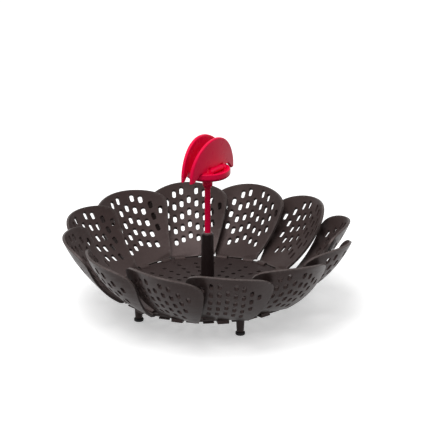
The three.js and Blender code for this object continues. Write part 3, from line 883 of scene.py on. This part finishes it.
def makeLeaves():
    first = makeLeaf()
    for name, node, half in (("rearLeaf", "rear_leaf", 0), ("frontLeaf", "front_leaf", math.pi)):
        obj = copyPiece(first)
        place(obj, handlePlace(half))
        dress(obj, name, node, handleRed, [node])
    bpy.data.objects.remove(first)
    for name, node, side in (("rearPin", "rear_leaf_pin", 1), ("frontPin", "front_leaf_pin", -1)):
        bar = crossBar(pin["radius"], pin["length"], side * pin["offset"], pin["sides"])
        roundEdges(bar, pin["rounding"], pin["segments"])
        softShade(bar)
        place(bar, handlePlace())
        dress(bar, name, "lift", pinSteel, [node])


makeHub()
makeLeaves()
print("handle made")


# Feet

foot = {
    "topRadius": 4.4, "bottomRadius": 3.4, "studRadius": 1.8, "sides": 40, "legRounding": 0.3,
    "segments": 2,
    "padRadius": 4.6, "padThickness": 3, "padGap": 0.3, "socketDepth": 1.6, "socketRadius": 2.2,
    "socketGap": 0.2, "padChamfer": 0.6, "padRounding": 0.25, "padEdgeAngle": 25,
}


def makeFeet():
    # a tapered leg riveted into the plate, and a soft pad over its lower end
    socketTop = foot["padThickness"] - foot["socketDepth"]
    profile = [(0, socketTop), (foot["socketRadius"], socketTop),
               (foot["socketRadius"], foot["padThickness"]),
               (foot["bottomRadius"], foot["padThickness"]), (foot["topRadius"], plate["bottom"]),
               (foot["studRadius"], plate["bottom"]), (foot["studRadius"], plateTop), (0, plateTop)]
    leg = turnedPiece("leg", profile, foot["sides"])
    roundEdges(leg, foot["legRounding"], foot["segments"])
    softShade(leg)
    padTop = foot["padThickness"] - foot["padGap"]
    wall = foot["socketRadius"] + foot["socketGap"]
    floor = socketTop - foot["socketGap"]
    profile = [(0, 0), (foot["padRadius"] - foot["padChamfer"], 0),
               (foot["padRadius"], foot["padChamfer"]), (foot["padRadius"], padTop),
               (wall, padTop), (wall, floor), (0, floor)]
    pad = turnedPiece("pad", profile, foot["sides"])
    roundEdges(pad, foot["padRounding"], foot["segments"], foot["padEdgeAngle"])
    softShade(pad)
    firstTurn = math.radians(petal["firstTurn"]) + math.pi / petal["count"]
    for index in range(plate["feet"]):
        turn = firstTurn + math.tau * index / plate["feet"]
        x, y = atTurn(plate["footRadius"], 0, turn)
        spot = Matrix.Translation((x * mm, y * mm, 0))
        for part, name, node, material, slotName in (
            (leg, "footLeg", "foot_leg_", plateNylonPaintedShade, "nylon_black"),
            (pad, "footPad", "foot_pad_", soleSilicone, "silicone"),
        ):
            obj = copyPiece(part)
            place(obj, spot)
            dress(obj, f"{name}{index + 1}", "base", material, [f"{node}{index + 1}"])
    bpy.data.objects.remove(leg)
    bpy.data.objects.remove(pad)


makeFeet()
print("feet made")

# two pieces inside the tube keep their solids and only take a finish
for name, material in (("rod_piston", tubePlastic), ("friction_ring", soleSilicone)):
    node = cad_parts[name]
    node.data.materials.clear()
    node.data.materials.append(material)


# Room, lamps and camera

room = {
    "floorSize": 12, "floorColour": (0.9, 0.9, 0.9), "floorBounce": (0.08, 0.077, 0.077),
    "floorGlow": 0.42, "floorRoughness": 0.9, "worldStrength": 0.42, "seenStrength": 1,
    "keyPower": 20, "keySize": 1.1, "keyPlace": (-0.3, -0.3, 1.9),
    "fillPower": 15, "fillSize": 1.2, "fillPlace": (-0.5, -1.5, 2.0), "lampTarget": (0, 0, 0.06),
}
view = {
    "baseLevel": 0.0232, "elevation": 21.14, "distance": 2.557, "focalPixels": 2650, "imagePixels": 426,
    "basePixel": (207.2, 286.3), "middlePixel": 213, "sensorWidth": 36, "clipStart": 0.05, "clipEnd": 50,
}


def directView(nodes, links, paths):
    # 1 where the camera, a mirror or glass looks at the background, 0 for the light it gives
    total = paths.outputs["Is Camera Ray"]
    for name in ("Is Glossy Ray", "Is Transmission Ray"):
        both = nodes.new("ShaderNodeMath")
        both.operation = "MAXIMUM"
        links.new(total, both.inputs[0])
        links.new(paths.outputs[name], both.inputs[1])
        total = both.outputs["Value"]
    return total


def makeRoom():
    # the floor and the surroundings look white when seen directly, and give less light than that
    deselectAll()
    bpy.ops.mesh.primitive_plane_add(size=room["floorSize"], location=(0, 0, 0))
    floor = bpy.context.object
    floor.name = "floor"
    material, nodes, links, shader = newMaterial("paleFloor")
    shader.inputs["Roughness"].default_value = room["floorRoughness"]
    shader.inputs["Emission Color"].default_value = white
    seen = directView(nodes, links, nodes.new("ShaderNodeLightPath"))
    tone = mixColours(nodes, links, seen, room["floorBounce"], room["floorColour"])
    links.new(tone, shader.inputs["Base Color"])
    glow = nodes.new("ShaderNodeMath")
    glow.operation = "MULTIPLY"
    glow.inputs[1].default_value = room["floorGlow"]
    links.new(seen, glow.inputs[0])
    links.new(glow.outputs["Value"], shader.inputs["Emission Strength"])
    floor.data.materials.append(material)
    world = bpy.data.worlds.new("studio")
    bpy.context.scene.world = world
    world.use_nodes = True
    nodes = world.node_tree.nodes
    links = world.node_tree.links
    nodes.clear()
    output = nodes.new("ShaderNodeOutputWorld")
    paths = nodes.new("ShaderNodeLightPath")
    soft = nodes.new("ShaderNodeBackground")
    soft.inputs["Color"].default_value = white
    soft.inputs["Strength"].default_value = room["worldStrength"]
    bright = nodes.new("ShaderNodeBackground")
    bright.inputs["Strength"].default_value = room["seenStrength"]
    mix = nodes.new("ShaderNodeMixShader")
    links.new(directView(nodes, links, paths), mix.inputs["Fac"])
    links.new(soft.outputs["Background"], mix.inputs[1])
    links.new(bright.outputs["Background"], mix.inputs[2])
    links.new(mix.outputs["Shader"], output.inputs["Surface"])


def addLamp(name, power, size, spot):
    data = bpy.data.lights.new(name, "AREA")
    data.energy = power
    data.size = size
    lamp = newObject(name, data)
    lamp.location = spot
    aim = Vector(room["lampTarget"]) - Vector(spot)
    lamp.rotation_euler = aim.to_track_quat("-Z", "Y").to_euler()


def addCamera():
    # stands in front, and turned so that the plate's middle falls on its pixel
    data = bpy.data.cameras.new("camera")
    data.sensor_fit = "HORIZONTAL"
    data.sensor_width = view["sensorWidth"]
    data.lens = view["sensorWidth"] * view["focalPixels"] / view["imagePixels"]
    data.clip_start = view["clipStart"]
    data.clip_end = view["clipEnd"]
    camera = newObject("camera", data)
    up = math.radians(view["elevation"])
    height = view["baseLevel"] + view["distance"] * math.sin(up)
    camera.location = (0, -view["distance"] * math.cos(up), height)
    across = math.atan((view["middlePixel"] - view["basePixel"][0]) / view["focalPixels"])
    down = math.atan((view["basePixel"][1] - view["middlePixel"]) / view["focalPixels"])
    camera.rotation_euler = (math.pi / 2 - up + down, 0, -across)
    bpy.context.scene.camera = camera


makeRoom()
addLamp("keyLamp", room["keyPower"], room["keySize"], room["keyPlace"])
addLamp("fillLamp", room["fillPower"], room["fillSize"], room["fillPlace"])
addCamera()
bpy.context.scene.view_settings.view_transform = "Standard"
print("room and camera set")
